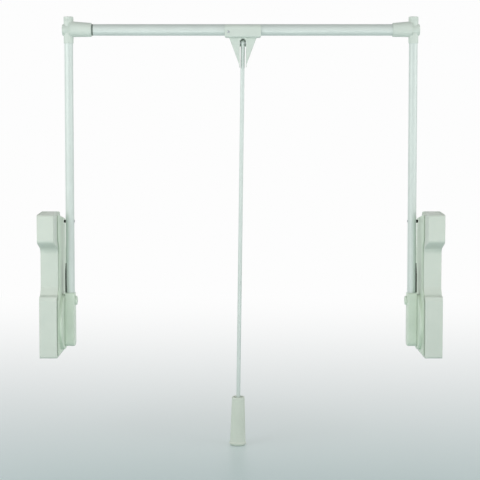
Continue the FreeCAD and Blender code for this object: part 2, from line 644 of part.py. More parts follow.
def connector(mouth_x):
    """Moulded corner that joins the arm to the hanging rod, with the sleeve's mouth at mouth_x."""
    outer = ARM_DIA / 2 + FIT_GAP + SOCKET_WALL
    rod_z = SWING_RADIUS
    socket = bar((ARM_X, 0, rod_z - SOCKET_BELOW), (ARM_X, 0, ARM_TOP_Z), outer)
    socket = socket.makeChamfer(SOCKET_CHAMFER, [e for e in socket.Edges
                                                 if abs(e.CenterOfMass.z - rod_z + SOCKET_BELOW) < 1e-4])
    root = Part.Wire(Part.makeCircle(SLEEVE_ROOT_R, V(SLEEVE_ROOT_X, 0, rod_z + SLEEVE_ROOT_LIFT), X_AXIS))
    mouth = Part.Wire(Part.makeCircle(SLEEVE_MOUTH_R, V(mouth_x, 0, rod_z), X_AXIS))
    sleeve = Part.makeLoft([root, mouth], True, True)
    sleeve = sleeve.makeChamfer(MOUTH_CHAMFER, edges_at_x(sleeve, mouth_x))
    cross = bar((CROSS_OUTER_X, 0, rod_z), (SLEEVE_ROOT_X, 0, rod_z), CROSS_R)
    cross = cross.makeFillet(CROSS_ROUND, edges_at_x(cross, CROSS_OUTER_X))
    body = socket.fuse([sleeve, cross]).removeSplitter()
    body = body.cut(bar((ARM_X, 0, rod_z - 2 * SOCKET_BELOW), (ARM_X, 0, ARM_TOP_Z),
                        ARM_DIA / 2 + FIT_GAP))
    body = body.cut(bar((ROD_STOP_X, 0, rod_z), (mouth_x, 0, rod_z), ROD_DIA / 2 + FIT_GAP))
    return body.cut(bar((CROSS_OUTER_X, 0, rod_z), (ARM_X, 0, rod_z), LOCK_SCREW_R + FIT_GAP))


def connector_cap():
    """Round cap that closes the top of the arm tube."""
    radius = ARM_DIA / 2 + FIT_GAP + SOCKET_WALL
    cap = bar((ARM_X, 0, ARM_TOP_Z), (ARM_X, 0, ARM_TOP_Z + CAP_THICK), radius)
    top = [e for e in cap.Edges if abs(e.CenterOfMass.z - ARM_TOP_Z - CAP_THICK) < 1e-4]
    cap = cap.makeFillet(CAP_ROUND, top)
    seat = [e for e in cap.Edges if abs(e.CenterOfMass.z - ARM_TOP_Z) < 1e-4]
    cap = cap.makeChamfer(CAP_GROOVE, seat)
    plug = bar((ARM_X, 0, ARM_TOP_Z - CAP_PLUG), (ARM_X, 0, ARM_TOP_Z), ARM_DIA / 2 - ARM_WALL - FIT_GAP)
    return cap.fuse(plug).removeSplitter()


def lock_screw():
    """Set screw in the outer boss of the connector."""
    tip = ARM_X - ARM_DIA / 2 - FIT_GAP
    return bar((CROSS_OUTER_X + LOCK_SCREW_SUNK, 0, SWING_RADIUS), (tip, 0, SWING_RADIUS), LOCK_SCREW_R)


def rod_reducer():
    """Collar that centres the thinner rod tube in the left connector."""
    bore = INNER_ROD_DIA / 2 + FIT_GAP
    body = bar((ROD_STOP_X, 0, SWING_RADIUS), (SLEEVE_MOUTH_X, 0, SWING_RADIUS), ROD_DIA / 2)
    flange = bar((SLEEVE_MOUTH_X, 0, SWING_RADIUS),
                 (SLEEVE_MOUTH_X + REDUCER_FLANGE, 0, SWING_RADIUS), ROD_DIA / 2)
    ring = body.fuse(flange).removeSplitter()
    return ring.cut(bar((ROD_STOP_X, 0, SWING_RADIUS),
                        (SLEEVE_MOUTH_X + REDUCER_FLANGE, 0, SWING_RADIUS), bore))


def inner_rod():
    """Thinner rod tube, fixed in the left connector and free in the outer tube."""
    return tube((ROD_STOP_X, 0, SWING_RADIUS), (ROD_STOP_X + INNER_ROD_LENGTH, 0, SWING_RADIUS),
                INNER_ROD_DIA / 2, INNER_ROD_DIA / 2 - INNER_ROD_WALL)


def outer_rod():
    """Hanging rod, fixed in the right connector."""
    start = SLEEVE_MOUTH_X + REDUCER_FLANGE + SEAT_GAP
    end = CABINET_WIDTH - ROD_STOP_X
    return tube((start, 0, SWING_RADIUS), (end, 0, SWING_RADIUS), ROD_DIA / 2, ROD_DIA / 2 - ROD_WALL)


def bracket():
    """Snap-on saddle under the rod, with the slotted lug that the pull rod hangs in."""
    z = SWING_RADIUS
    left = BRACKET_X - SADDLE_WIDTH / 2
    right = left + SADDLE_WIDTH
    section = side_slab([
        (-SADDLE_FRONT, z - SADDLE_BELOW, SADDLE_ROUND),
        (SADDLE_FRONT, z - SADDLE_BELOW, SADDLE_ROUND),
        (SADDLE_FRONT, z + SADDLE_ABOVE, SADDLE_CROWN),
        (-SADDLE_FRONT, z + SADDLE_ABOVE, SADDLE_CROWN),
    ], left, right)
    face = front_slab([
        (left, z - SADDLE_BELOW, SADDLE_ROUND),
        (right, z - SADDLE_BELOW, SADDLE_ROUND),
        (right, z + SADDLE_ABOVE, SADDLE_END_ROUND),
        (left, z + SADDLE_ABOVE, SADDLE_END_ROUND),
    ], -SADDLE_FRONT, SADDLE_FRONT)
    half_top = LUG_TOP_WIDTH / 2
    half_tip = LUG_TIP_WIDTH / 2
    side = [
        (half_top + LUG_FLARE, 1.0 - SADDLE_BELOW, 0.0),
        (half_top + LUG_FLARE, -SADDLE_BELOW, 0.0),
        (half_top, -SADDLE_BELOW, 0.9 * LUG_FLARE),
        (half_tip, -LUG_SHOULDER, LUG_SHOULDER_ROUND),
        (half_tip, -LUG_TIP, LUG_TIP_ROUND),
    ]
    outline = [(BRACKET_X + u, z + v, radius) for u, v, radius in side]
    outline += [(BRACKET_X - u, z + v, radius) for u, v, radius in reversed(side)]
    lug = front_slab(outline, -LUG_FRONT, LUG_BACK)
    body = section.common(face).fuse(lug).removeSplitter()
    slot_z = z - SLOT_TOP - SLOT_WIDTH / 2
    half_slot = SLOT_WIDTH / 2
    body = body.cut(Part.makeBox(SLOT_WIDTH, LUG_FRONT + SLOT_BACK, slot_z - z + LUG_TIP,
                                 V(BRACKET_X - half_slot, -LUG_FRONT, z - LUG_TIP)))
    body = body.cut(Part.makeBox(SLOT_WIDTH, LUG_FRONT + LUG_BACK, LUG_TIP - SLOT_OPEN,
                                 V(BRACKET_X - half_slot, -LUG_FRONT, z - LUG_TIP)))
    body = body.cut(bar((BRACKET_X, -LUG_FRONT, slot_z), (BRACKET_X, SLOT_BACK, slot_z), SLOT_WIDTH / 2))
    body = body.cut(bar((left, 0, z), (right, 0, z), ROD_DIA / 2 + FIT_GAP))
    half = PIN_LENGTH / 2 + HOLE_GAP
    body = body.cut(bar((BRACKET_X - half, 0, EYE_Z), (BRACKET_X + half, 0, EYE_Z), PIN_R + FIT_GAP))
    screw = V(BRACKET_X + SADDLE_SCREW_SHIFT, -SADDLE_FRONT, z - SADDLE_SCREW_DROP)
    return body.cut(Part.makeCylinder(SADDLE_SCREW_R + FIT_GAP, SADDLE_FRONT, screw, Y_AXIS))


def bracket_pin():
    """Pin that the eye of the pull rod turns on."""
    half = PIN_LENGTH / 2
    return bar((BRACKET_X - half, 0, EYE_Z), (BRACKET_X + half, 0, EYE_Z), PIN_R)


def bracket_screw():
    """Screw in the face of the saddle that locks it on the rod."""
    x = BRACKET_X + SADDLE_SCREW_SHIFT
    z = SWING_RADIUS - SADDLE_SCREW_DROP
    body = bar((x, -SADDLE_FRONT - SADDLE_SCREW_PROUD, z), (x, 0, z), SADDLE_SCREW_R)
    return body.cut(bar((x - SADDLE_WIDTH, 0, SWING_RADIUS), (x + SADDLE_WIDTH, 0, SWING_RADIUS),
                        ROD_DIA / 2 + FIT_GAP))


def lean(shape):
    """Tilt a piece that hangs from the pin sideways by the play of its eye."""
    shape.rotate(V(BRACKET_X, 0, EYE_Z), Y_AXIS, PULL_LEAN)
    return shape


def pull_rod():
    """Pull rod with the ball-shaped eye that turns on the bracket's pin."""
    end = EYE_Z - GRIP_START - GRIP_BORE_DEPTH
    stem = lean(bar((BRACKET_X, 0, end), (BRACKET_X, 0, EYE_Z), PULL_R))
    eye = Part.makeSphere(EYE_R, V(BRACKET_X, 0, EYE_Z))
    body = stem.fuse(eye).removeSplitter()
    return body.cut(bar((BRACKET_X - EYE_R, 0, EYE_Z), (BRACKET_X + EYE_R, 0, EYE_Z), PIN_R + FIT_GAP))


def pull_grip():
    """Moulded grip: a dished top, a slight flare and a rolled foot."""
    top = EYE_Z - GRIP_START
    bottom = top - GRIP_LENGTH

    def at(radius, height):
        return V(BRACKET_X + radius, 0, height)

    foot_top = bottom + GRIP_FOOT_HEIGHT
    ring = bottom + GRIP_FOOT_RIM
    rim = GRIP_RIM_ROUND
    bulge = rim * (1 - math.sqrt(0.5))
    dish_floor = GRIP_DISH_R - GRIP_DISH_SLOPE
    path = [
        Part.LineSegment(at(0, top - GRIP_DISH_DEPTH), at(dish_floor, top - GRIP_DISH_DEPTH)),
        Part.LineSegment(at(dish_floor, top - GRIP_DISH_DEPTH), at(GRIP_DISH_R, top)),
        Part.LineSegment(at(GRIP_DISH_R, top), at(GRIP_TOP_R - rim, top)),
        Part.Arc(at(GRIP_TOP_R - rim, top), at(GRIP_TOP_R - bulge, top - bulge), at(GRIP_TOP_R, top - rim)),
        Part.LineSegment(at(GRIP_TOP_R, top - rim), at(GRIP_LOW_R, foot_top)),
        Part.Arc(at(GRIP_LOW_R, foot_top), at((3 * GRIP_LOW_R + GRIP_FOOT_R) / 4, (foot_top + ring) / 2),
                 at(GRIP_FOOT_R, ring)),
        Part.Arc(at(GRIP_FOOT_R, ring), at(GRIP_FOOT_R - GRIP_FOOT_TUCK / 4, (3 * ring + 2 * bottom) / 5),
                 at(GRIP_FOOT_R - GRIP_FOOT_TUCK, bottom)),
        Part.LineSegment(at(GRIP_FOOT_R - GRIP_FOOT_TUCK, bottom), at(0, bottom)),
        Part.LineSegment(at(0, bottom), at(0, top - GRIP_DISH_DEPTH)),
    ]
    face = Part.Face(Part.Wire([piece.toShape() for piece in path]))
    body = face.revolve(V(BRACKET_X, 0, 0), Z_AXIS, 360)
    bore = bar((BRACKET_X, 0, top - GRIP_BORE_DEPTH), (BRACKET_X, 0, top), PULL_R + FIT_GAP)
    return lean(body.cut(bore))


def mirrored(shape):
    """The same piece on the other side of the cabinet."""
    return shape.mirror(V(CABINET_WIDTH / 2, 0, 0), X_AXIS)


def save(name, shape):
    shape.exportStep("parts/" + name + ".step")


PAIRED = {
    "housing_shell": housing_shell,
    "chassis_plate": chassis,
    "shell_screws": shell_screws,
    "side_cover": side_cover,
    "pivot_bush": pivot_bush,
    "spring_anchor": anchor_post,
    "springs": springs,
    "stop_buffers": stop_buffers,
    "rotary_damper": damper,
    "pivot_shaft": pivot_shaft,
    "crank": crank,
    "crank_pin": crank_pin,
    "lever": lever,
    "clamp_screw": clamp_screw,
    "arm_tube": arm_tube,
    "arm_bumper": arm_bumper,
    "bumper_rivet": bumper_rivet,
    "arm_strip": arm_strip,
    "connector_cap": connector_cap,
    "lock_screw": lock_screw,
}

SINGLE = {
    "rod_reducer": rod_reducer,
    "inner_rod": inner_rod,
    "hanging_rod": outer_rod,
    "pull_bracket": bracket,
    "bracket_pin": bracket_pin,
    "bracket_screw": bracket_screw,
    "pull_rod": pull_rod,
    "pull_grip": pull_grip,
}

os.makedirs("parts", exist_ok=True)
for name, make in PAIRED.items():
    piece = make()
    save("left_" + name, piece)
    save("right_" + name, mirrored(piece))
for name, make in SINGLE.items():
    save(name, make())
save("left_corner_connector", connector(SLEEVE_MOUTH_X))
save("right_corner_connector", mirrored(connector(PLAIN_MOUTH_X)))
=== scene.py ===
"""Looks of a pull down closet rod: wall housings, arms, a telescopic rod and a pull rod with a grip.

Everything is in metres in the part's own frame: the origin is where the pivot axis meets the left
wall, +X runs along the rod to the right wall, -Y is the front of the cabinet and +Z is up.  Sizes are
written in millimetres and multiplied by MM.
"""

import math

import bpy
import numpy as np
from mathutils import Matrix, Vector


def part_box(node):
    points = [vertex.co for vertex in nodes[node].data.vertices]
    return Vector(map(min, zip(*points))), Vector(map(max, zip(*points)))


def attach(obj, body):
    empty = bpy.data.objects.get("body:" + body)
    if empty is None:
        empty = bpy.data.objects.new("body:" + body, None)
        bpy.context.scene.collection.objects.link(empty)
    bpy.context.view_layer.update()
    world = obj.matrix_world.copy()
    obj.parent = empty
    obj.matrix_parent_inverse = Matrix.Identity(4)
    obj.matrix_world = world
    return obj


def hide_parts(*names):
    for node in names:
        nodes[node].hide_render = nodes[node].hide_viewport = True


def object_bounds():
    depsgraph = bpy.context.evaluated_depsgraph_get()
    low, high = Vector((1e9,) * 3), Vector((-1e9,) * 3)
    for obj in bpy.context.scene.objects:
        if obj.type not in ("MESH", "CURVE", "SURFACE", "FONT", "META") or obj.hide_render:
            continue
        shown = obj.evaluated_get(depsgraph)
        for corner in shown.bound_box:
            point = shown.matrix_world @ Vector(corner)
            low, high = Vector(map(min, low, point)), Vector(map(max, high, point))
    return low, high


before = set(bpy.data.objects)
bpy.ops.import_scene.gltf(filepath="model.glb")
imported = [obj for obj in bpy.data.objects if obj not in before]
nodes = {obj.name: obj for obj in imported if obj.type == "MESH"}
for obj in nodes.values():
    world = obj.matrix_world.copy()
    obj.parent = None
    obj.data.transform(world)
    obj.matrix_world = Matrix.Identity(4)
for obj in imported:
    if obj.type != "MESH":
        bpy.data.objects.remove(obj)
cad_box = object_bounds()

MM = 0.001
SIDES = ("left", "right")
MIDDLE_X = (cad_box[0].x + cad_box[1].x) / 2
GROUND_Z = cad_box[0].z    # the lowest point of the object

# ---- camera ----------------------------------------------------------------
IMAGE_SIZE = 480           # pixels, both ways
FOCAL_PIXELS = 1284.1      # focal length, in pixels of the image
SENSOR = 36.0              # width of the sensor, in millimetres
CAMERA_PLACE = (MIDDLE_X, -2.6882, 0.4091)
CAMERA_PITCH = math.radians(3.319)
SHIFT_X = -1 / IMAGE_SIZE  # both shifts are shares of the image's width
SHIFT_Y = -0.08
CLIP_NEAR = 0.05           # the nearest and the farthest that it sees, in metres
CLIP_FAR = 60.0

# ---- stage -----------------------------------------------------------------
FLOOR_GAP = 0.4 * MM       # the grip hangs just clear of the floor
FLOOR_HALF = 9.0           # half the side of the square
FLOOR_MIDDLE = (MIDDLE_X, -0.55)
FADE_START = 0.30          # metres from FLOOR_MIDDLE
FADE_END = 3.00
FADE_STRETCH = 3.0         # the fade reaches this many times as far along X as along Y
FLOOR_SHEEN = 0.25         # share of the light that the paper mirrors
SHEEN_ROUGHNESS = 0.42
AIR_WHITE = "FDFDFD"       # the far floor and the air above it are one white
BACK_LIGHT = 1.00          # strength of the soft light from the backdrop's side
ROOM_LIGHT = 1.10          # and from the camera's side
SIDE_TURN = 0.7            # the light of a side is whole from this Y of the direction on
CEILING_LIGHT = 0.32       # share of the soft light that comes from overhead
CEILING_FALL = (0.10, 0.75)    # the direction's Z where that light starts to fall, and where it ends
CEILING_TONE = 0.35        # what the eye meets overhead, as a share of the white
CEILING_FADE = (0.30, 0.85)    # the direction's Z where that fades


# ---- colours and nodes -------------------------------------------------------
def srgb(code):
    """Linear RGBA of an sRGB colour written as six hex digits."""
    channel = np.array([int(code[i:i + 2], 16) for i in (0, 2, 4)]) / 255
    linear = np.where(channel <= 0.04045, channel / 12.92, ((channel + 0.055) / 1.055) ** 2.4)
    return (*linear.tolist(), 1.0)


def add(tree, kind, inputs=None, **settings):
    """Add one shader node: settings are its properties, inputs are values or sockets for its inputs."""
    node = tree.nodes.new("ShaderNode" + kind)
    for name, value in settings.items():
        setattr(node, name, value)
    for name, value in (inputs or {}).items():
        if isinstance(value, bpy.types.NodeSocket):
            tree.links.new(value, node.inputs[name])
        else:
            node.inputs[name].default_value = value
    return node


def blank(name):
    """New material with an empty tree; returns the material and the tree."""
    material = bpy.data.materials.new(name)
    material.use_nodes = True
    material.node_tree.nodes.clear()
    return material, material.node_tree


def seen_share(tree):
    """1 for what the eye meets, straight, mirrored or through something clear, and 0 for all other rays."""
    ray = add(tree, "LightPath").outputs
    seen = add(tree, "Math", {0: ray["Is Camera Ray"], 1: ray["Is Glossy Ray"]}, operation="MAXIMUM")
    seen = add(tree, "Math", {0: seen.outputs["Value"], 1: ray["Is Transmission Ray"]}, operation="MAXIMUM")
    return seen.outputs["Value"]


# ---- materials ---------------------------------------------------------------
SPREAD = {"From Min": 0.3, "From Max": 0.7}    # nearly all values of a noise lie between these


def moulded_abs(name, light, dark, grit, seam=0.0):
    """ABS, injection moulded in a spark-eroded tool.

    Satin with an even grain as fine as the spark's craters, grit millimetres across (0.2 on the real
    part, drawn coarser to show), and faint clouds where the melt flowed.  Edges have the tool's own
    small radius.  Where the two halves of the tool met, at Y = 0, a seam half a millimetre wide stands
    seam millimetres proud.
    """
    material, tree = blank(name)
    place = add(tree, "TexCoord").outputs["Object"]
    flow = add(tree, "TexNoise", {"Vector": place, "Scale": 1 / (38.0 * MM), "Detail": 3.0}).outputs["Fac"]
    cloud = add(tree, "MapRange", {"Value": flow, **SPREAD}).outputs["Result"]
    colour = add(tree, "MixRGB", {"Fac": cloud, "Color1": srgb(light),
                                  "Color2": srgb(dark)}).outputs["Color"]
    craters = add(tree, "TexNoise", {"Vector": place, "Scale": 1 / (grit * MM),
                                     "Detail": 2.0}).outputs["Fac"]
    rough = add(tree, "MapRange", {"Value": craters, **SPREAD,
                                   "To Min": 0.42, "To Max": 0.52}).outputs["Result"]
    edges = add(tree, "Bevel", {"Radius": 0.6 * MM}, samples=4).outputs["Normal"]
    normal = add(tree, "Bump", {"Height": craters, "Distance": 0.016 * MM,
                                "Normal": edges}).outputs["Normal"]
    if seam:
        y = add(tree, "SeparateXYZ", {"Vector": place}).outputs["Y"]
        away = add(tree, "Math", {0: y}, operation="ABSOLUTE").outputs["Value"]
        ridge = add(tree, "MapRange", {"Value": away, "From Min": 0.0, "From Max": 0.25 * MM,
                                       "To Min": 1.0, "To Max": 0.0}, interpolation_type="SMOOTHSTEP")
        normal = add(tree, "Bump", {"Height": ridge.outputs["Result"], "Distance": seam * MM,
                                    "Normal": normal}).outputs["Normal"]
    shader = add(tree, "BsdfPrincipled", {"Base Color": colour, "Roughness": rough, "IOR": 1.53,
                                          "Normal": normal})
    add(tree, "OutputMaterial", {"Surface": shader.outputs["BSDF"]})
    return material


def powder_coat(name, light, dark):
    """Powder coat with fine aluminium flake, baked on steel tube.

    The flakes lie flat in the film, so part of the light comes back as from dull metal and the tube
    darkens where it mirrors a dark part of the room.  The film levels to a soft orange peel about
    2 mm across, and is a shade thinner here and there, which shows as clouds some centimetres long.
    """
    material, tree = blank(name)
    place = add(tree, "TexCoord").outputs["Object"]
    film = add(tree, "TexNoise", {"Vector": place, "Scale": 1 / (60.0 * MM), "Detail": 2.0}).outputs["Fac"]
    cloud = add(tree, "MapRange", {"Value": film, **SPREAD}).outputs["Result"]
    colour = add(tree, "MixRGB", {"Fac": cloud, "Color1": srgb(light),
                                  "Color2": srgb(dark)}).outputs["Color"]
    haze = add(tree, "TexNoise", {"Vector": place, "Scale": 1 / (0.6 * MM), "Detail": 2.0}).outputs["Fac"]
    rough = add(tree, "MapRange", {"Value": haze, **SPREAD,
                                   "To Min": 0.38, "To Max": 0.46}).outputs["Result"]
    peel = add(tree, "TexNoise", {"Vector": place, "Scale": 1 / (2.2 * MM), "Detail": 1.0}).outputs["Fac"]
    edges = add(tree, "Bevel", {"Radius": 0.4 * MM}, samples=4).outputs["Normal"]
    normal = add(tree, "Bump", {"Height": peel, "Distance": 0.006 * MM, "Normal": edges}).outputs["Normal"]
    shader = add(tree, "BsdfPrincipled", {"Base Color": colour, "Metallic": 0.2, "Roughness": rough,
                                          "IOR": 1.5, "Normal": normal})
    add(tree, "OutputMaterial", {"Surface": shader.outputs["BSDF"]})
    return material


def painted_casting(name, light, dark, edge_highlight):
    """Zinc die casting under one coat of satin paint.

    The cast skin shows through as a ripple of a millimetre or so.  The edges are painted a shade paler,
    a painted highlight as if they caught the light: there the rounded normal and the flat one part.
    """
    material, tree = blank(name)
    place = add(tree, "TexCoord").outputs["Object"]
    coat = add(tree, "TexNoise", {"Vector": place, "Scale": 1 / (25.0 * MM), "Detail": 3.0}).outputs["Fac"]
    cloud = add(tree, "MapRange", {"Value": coat, **SPREAD}).outputs["Result"]
    colour = add(tree, "MixRGB", {"Fac": cloud, "Color1": srgb(light),
                                  "Color2": srgb(dark)}).outputs["Color"]
    edges = add(tree, "Bevel", {"Radius": 0.9 * MM}, samples=4).outputs["Normal"]
    flat = add(tree, "NewGeometry").outputs["Normal"]
    match = add(tree, "VectorMath", {0: edges, 1: flat}, operation="DOT_PRODUCT").outputs["Value"]
    # painted highlight: the colour turns paler on the edges, where the rounded normal and the flat one part
    edge_highlight_share = add(tree, "MapRange", {"Value": match, "From Min": 0.995, "From Max": 0.9,
                                  "To Min": 0.0, "To Max": 0.7}).outputs["Result"]
    colour = add(tree, "MixRGB", {"Fac": edge_highlight_share, "Color1": colour, "Color2": srgb(edge_highlight)}).outputs["Color"]
    ripple = add(tree, "TexNoise", {"Vector": place, "Scale": 1 / (1.3 * MM), "Detail": 3.0}).outputs["Fac"]
    rough = add(tree, "MapRange", {"Value": ripple, **SPREAD,
                                   "To Min": 0.36, "To Max": 0.48}).outputs["Result"]
    normal = add(tree, "Bump", {"Height": ripple, "Distance": 0.03 * MM, "Normal": edges}).outputs["Normal"]
    shader = add(tree, "BsdfPrincipled", {"Base Color": colour, "Roughness": rough, "IOR": 1.5,
                                          "Normal": normal})
    add(tree, "OutputMaterial", {"Surface": shader.outputs["BSDF"]})
    return material


def zinc_plate(name):
    """Rolled steel, zinc plated and passivated.

    Bright grey-blue metal; the roller's lines run along Z, 0.1 mm apart on the real sheet and drawn
    0.7 mm apart here so that they show, and 25 times as long.
    """
    material, tree = blank(name)
    place = add(tree, "TexCoord").outputs["Object"]
    along = add(tree, "Mapping", {"Vector": place, "Scale": (1.0, 1.0, 0.04)}).outputs["Vector"]
    lines = add(tree, "TexNoise", {"Vector": along, "Scale": 1 / (0.7 * MM), "Detail": 2.0}).outputs["Fac"]
    stripe = add(tree, "MapRange", {"Value": lines, **SPREAD}).outputs["Result"]
    colour = add(tree, "MixRGB", {"Fac": stripe, "Color1": srgb("C3C8CB"), "Color2": srgb("AEB4B8")})
    rough = add(tree, "MapRange", {"Value": lines, **SPREAD,
                                   "To Min": 0.24, "To Max": 0.40}).outputs["Result"]
    edges = add(tree, "Bevel", {"Radius": 0.3 * MM}, samples=4).outputs["Normal"]
    normal = add(tree, "Bump", {"Height": lines, "Distance": 0.006 * MM, "Normal": edges}).outputs["Normal"]
    shader = add(tree, "BsdfPrincipled", {"Base Color": colour.outputs["Color"], "Metallic": 1.0,
                                          "Roughness": rough, "Normal": normal})
    add(tree, "OutputMaterial", {"Surface": shader.outputs["BSDF"]})
    return material


def spring_wire(name):
    """Hard drawn spring wire, oiled: dark metal with a slight blue from the stress relief."""
    material, tree = blank(name)
    place = add(tree, "TexCoord").outputs["Object"]
    scale = add(tree, "TexNoise", {"Vector": place, "Scale": 1 / (1.2 * MM), "Detail": 3.0}).outputs["Fac"]
    blue = add(tree, "MapRange", {"Value": scale, **SPREAD}).outputs["Result"]
    colour = add(tree, "MixRGB", {"Fac": blue, "Color1": srgb("6C7076"), "Color2": srgb("52575F")})
    rough = add(tree, "MapRange", {"Value": scale, **SPREAD,
                                   "To Min": 0.30, "To Max": 0.42}).outputs["Result"]
    normal = add(tree, "Bump", {"Height": scale, "Distance": 0.01 * MM}).outputs["Normal"]
    shader = add(tree, "BsdfPrincipled", {"Base Color": colour.outputs["Color"], "Metallic": 1.0,
                                          "Roughness": rough, "Normal": normal})
    add(tree, "OutputMaterial", {"Surface": shader.outputs["BSDF"]})
    return material


def sintered_bronze(name):
    """Oil-filled sintered bronze: warm metal speckled with pores of a third of a millimetre."""
    material, tree = blank(name)
    place = add(tree, "TexCoord").outputs["Object"]
    pores = add(tree, "TexVoronoi", {"Vector": place, "Scale": 1 / (0.35 * MM)}).outputs["Distance"]
    lit = add(tree, "MapRange", {"Value": pores, "From Min": 0.1, "From Max": 0.5}).outputs["Result"]
    colour = add(tree, "MixRGB", {"Fac": lit, "Color1": srgb("8A6A3C"), "Color2": srgb("B98D50")})
    rough = add(tree, "MapRange", {"Value": pores, "From Min": 0.1, "From Max": 0.5,
                                   "To Min": 0.55, "To Max": 0.38}).outputs["Result"]
    edges = add(tree, "Bevel", {"Radius": 0.2 * MM}, samples=4).outputs["Normal"]
    normal = add(tree, "Bump", {"Height": pores, "Distance": 0.02 * MM, "Normal": edges}).outputs["Normal"]
    shader = add(tree, "BsdfPrincipled", {"Base Color": colour.outputs["Color"], "Metallic": 1.0,
                                          "Roughness": rough, "Normal": normal})
    add(tree, "OutputMaterial", {"Surface": shader.outputs["BSDF"]})
    return material


def moulded_rubber(name, light, dark):
    """Rubber, compression moulded: matt, with a fine grain that holds a little dust."""
    material, tree = blank(name)
    place = add(tree, "TexCoord").outputs["Object"]
    dust = add(tree, "TexNoise", {"Vector": place, "Scale": 1 / (0.5 * MM), "Detail": 4.0}).outputs["Fac"]
    share = add(tree, "MapRange", {"Value": dust, **SPREAD}).outputs["Result"]
    colour = add(tree, "MixRGB", {"Fac": share, "Color1": srgb(light), "Color2": srgb(dark)})
    rough = add(tree, "MapRange", {"Value": dust, **SPREAD,
                                   "To Min": 0.72, "To Max": 0.88}).outputs["Result"]
    edges = add(tree, "Bevel", {"Radius": 0.3 * MM}, samples=4).outputs["Normal"]
    normal = add(tree, "Bump", {"Height": dust, "Distance": 0.02 * MM, "Normal": edges}).outputs["Normal"]
    shader = add(tree, "BsdfPrincipled", {"Base Color": colour.outputs["Color"], "Roughness": rough,
                                          "IOR": 1.52, "Normal": normal})
    add(tree, "OutputMaterial", {"Surface": shader.outputs["BSDF"]})
    return material


def moulded_acetal(name, light, dark):
    """Acetal, injection moulded: waxy and slightly glossy, with a faint mottle of some millimetres."""
    material, tree = blank(name)
    place = add(tree, "TexCoord").outputs["Object"]
    mottle = add(tree, "TexNoise", {"Vector": place, "Scale": 1 / (6.0 * MM), "Detail": 3.0}).outputs["Fac"]
    share = add(tree, "MapRange", {"Value": mottle, **SPREAD}).outputs["Result"]
    colour = add(tree, "MixRGB", {"Fac": share, "Color1": srgb(light), "Color2": srgb(dark)})
    rough = add(tree, "MapRange", {"Value": mottle, **SPREAD,
                                   "To Min": 0.30, "To Max": 0.40}).outputs["Result"]
    edges = add(tree, "Bevel", {"Radius": 0.3 * MM}, samples=4).outputs["Normal"]
    fine = add(tree, "TexNoise", {"Vector": place, "Scale": 1 / (0.8 * MM), "Detail": 2.0}).outputs["Fac"]
    normal = add(tree, "Bump", {"Height": fine, "Distance": 0.01 * MM, "Normal": edges}).outputs["Normal"]
    shader = add(tree, "BsdfPrincipled", {"Base Color": colour.outputs["Color"], "Roughness": rough,
                                          "IOR": 1.48, "Normal": normal})
    add(tree, "OutputMaterial", {"Surface": shader.outputs["BSDF"]})
    return material


def dress(material, *names):
    """Give the named nodes that material."""
    for name in names:
        mesh = nodes[name].data
        mesh.materials.clear()
        mesh.materials.append(material)


def both(*names):
    """Names of the left and right node of each kind."""
    return [side + "_" + name for side in SIDES for name in names]


housing_abs = moulded_abs("moulded_abs_housing", "D2DBD0", "CDD7CC", 0.45)
cover_abs = moulded_abs("moulded_abs_cover", "D7E6D4", "D2E1CF", 0.45)
fitting_abs = moulded_abs("moulded_abs_fittings", "D2DCD3", "CDD8CF", 0.35, seam=0.04)
grip_abs = moulded_abs("moulded_abs_grip", "D7DFD3", "D1DACD", 0.35, seam=0.04)
tube_paint = powder_coat("powder_coated_tube", "D6E0DB", "D1DBD6")
# the last colour is the painted highlight on the lever's edges
lever_paint = painted_casting("painted_zinc_casting", "D9E7D7", "D3E1D1", "E0EBE0")
plate_zinc = zinc_plate("zinc_plated_steel")
bush_bronze = sintered_bronze("sintered_bronze")
# black rubber for the bumpers and buffers, and painted shade on the arm strips
black_rubber_and_painted_shade = moulded_rubber("black_moulded_rubber_and_painted_shade", "1B1D1C", "121313")
black_acetal = moulded_acetal("black_moulded_acetal", "1E2022", "151618")
grey_acetal = moulded_acetal("grey_moulded_acetal", "7E8A82", "76827A")
wire_steel = spring_wire("oiled_spring_wire")

dress(housing_abs, *both("housing_shell"))
dress(cover_abs, *both("side_cover"))
dress(fitting_abs, *both("corner_connector", "connector_cap"), "pull_bracket")
dress(grip_abs, "pull_grip")
dress(tube_paint, *both("arm_tube"), "hanging_rod", "inner_rod", "pull_rod")
dress(lever_paint, *both("lever"))
dress(plate_zinc, *both("chassis_plate", "pivot_shaft", "crank", "crank_pin", "spring_anchor",
                        "bumper_rivet"), "bracket_pin")
dress(bush_bronze, *both("pivot_bush"))
# the arm strips are black as painted shade: they darken the narrow gap between each arm and its side cover;
# the bumpers and buffers are real black rubber
dress(black_rubber_and_painted_shade, *both("arm_bumper", "arm_strip", "stop_buffers"))
dress(black_acetal, *both("rotary_damper"))
dress(grey_acetal, "rod_reducer")


# ---- pieces made here: screws with their drives, wound springs --------------------
def put_in(name, shapes, material, body, node):
    """One mesh piece that rides on body and stands for the CAD node.

    Each of the shapes is its vertices, in millimetres, and its faces.
    """
    vertices, faces, count = [], [], 0
    for points, sides in shapes:
        vertices += (points * MM).tolist()
        faces += [[count + corner for corner in side] for side in sides]
        count += len(points)
    mesh = bpy.data.meshes.new(name)
    mesh.from_pydata(vertices, [], faces)
    mesh.polygons.foreach_set("use_smooth", np.ones(len(faces), dtype=bool))
    mesh.materials.append(material)
    piece = bpy.data.objects.new(name, mesh)
    bpy.context.scene.collection.objects.link(piece)
    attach(piece, body)
    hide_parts(node)


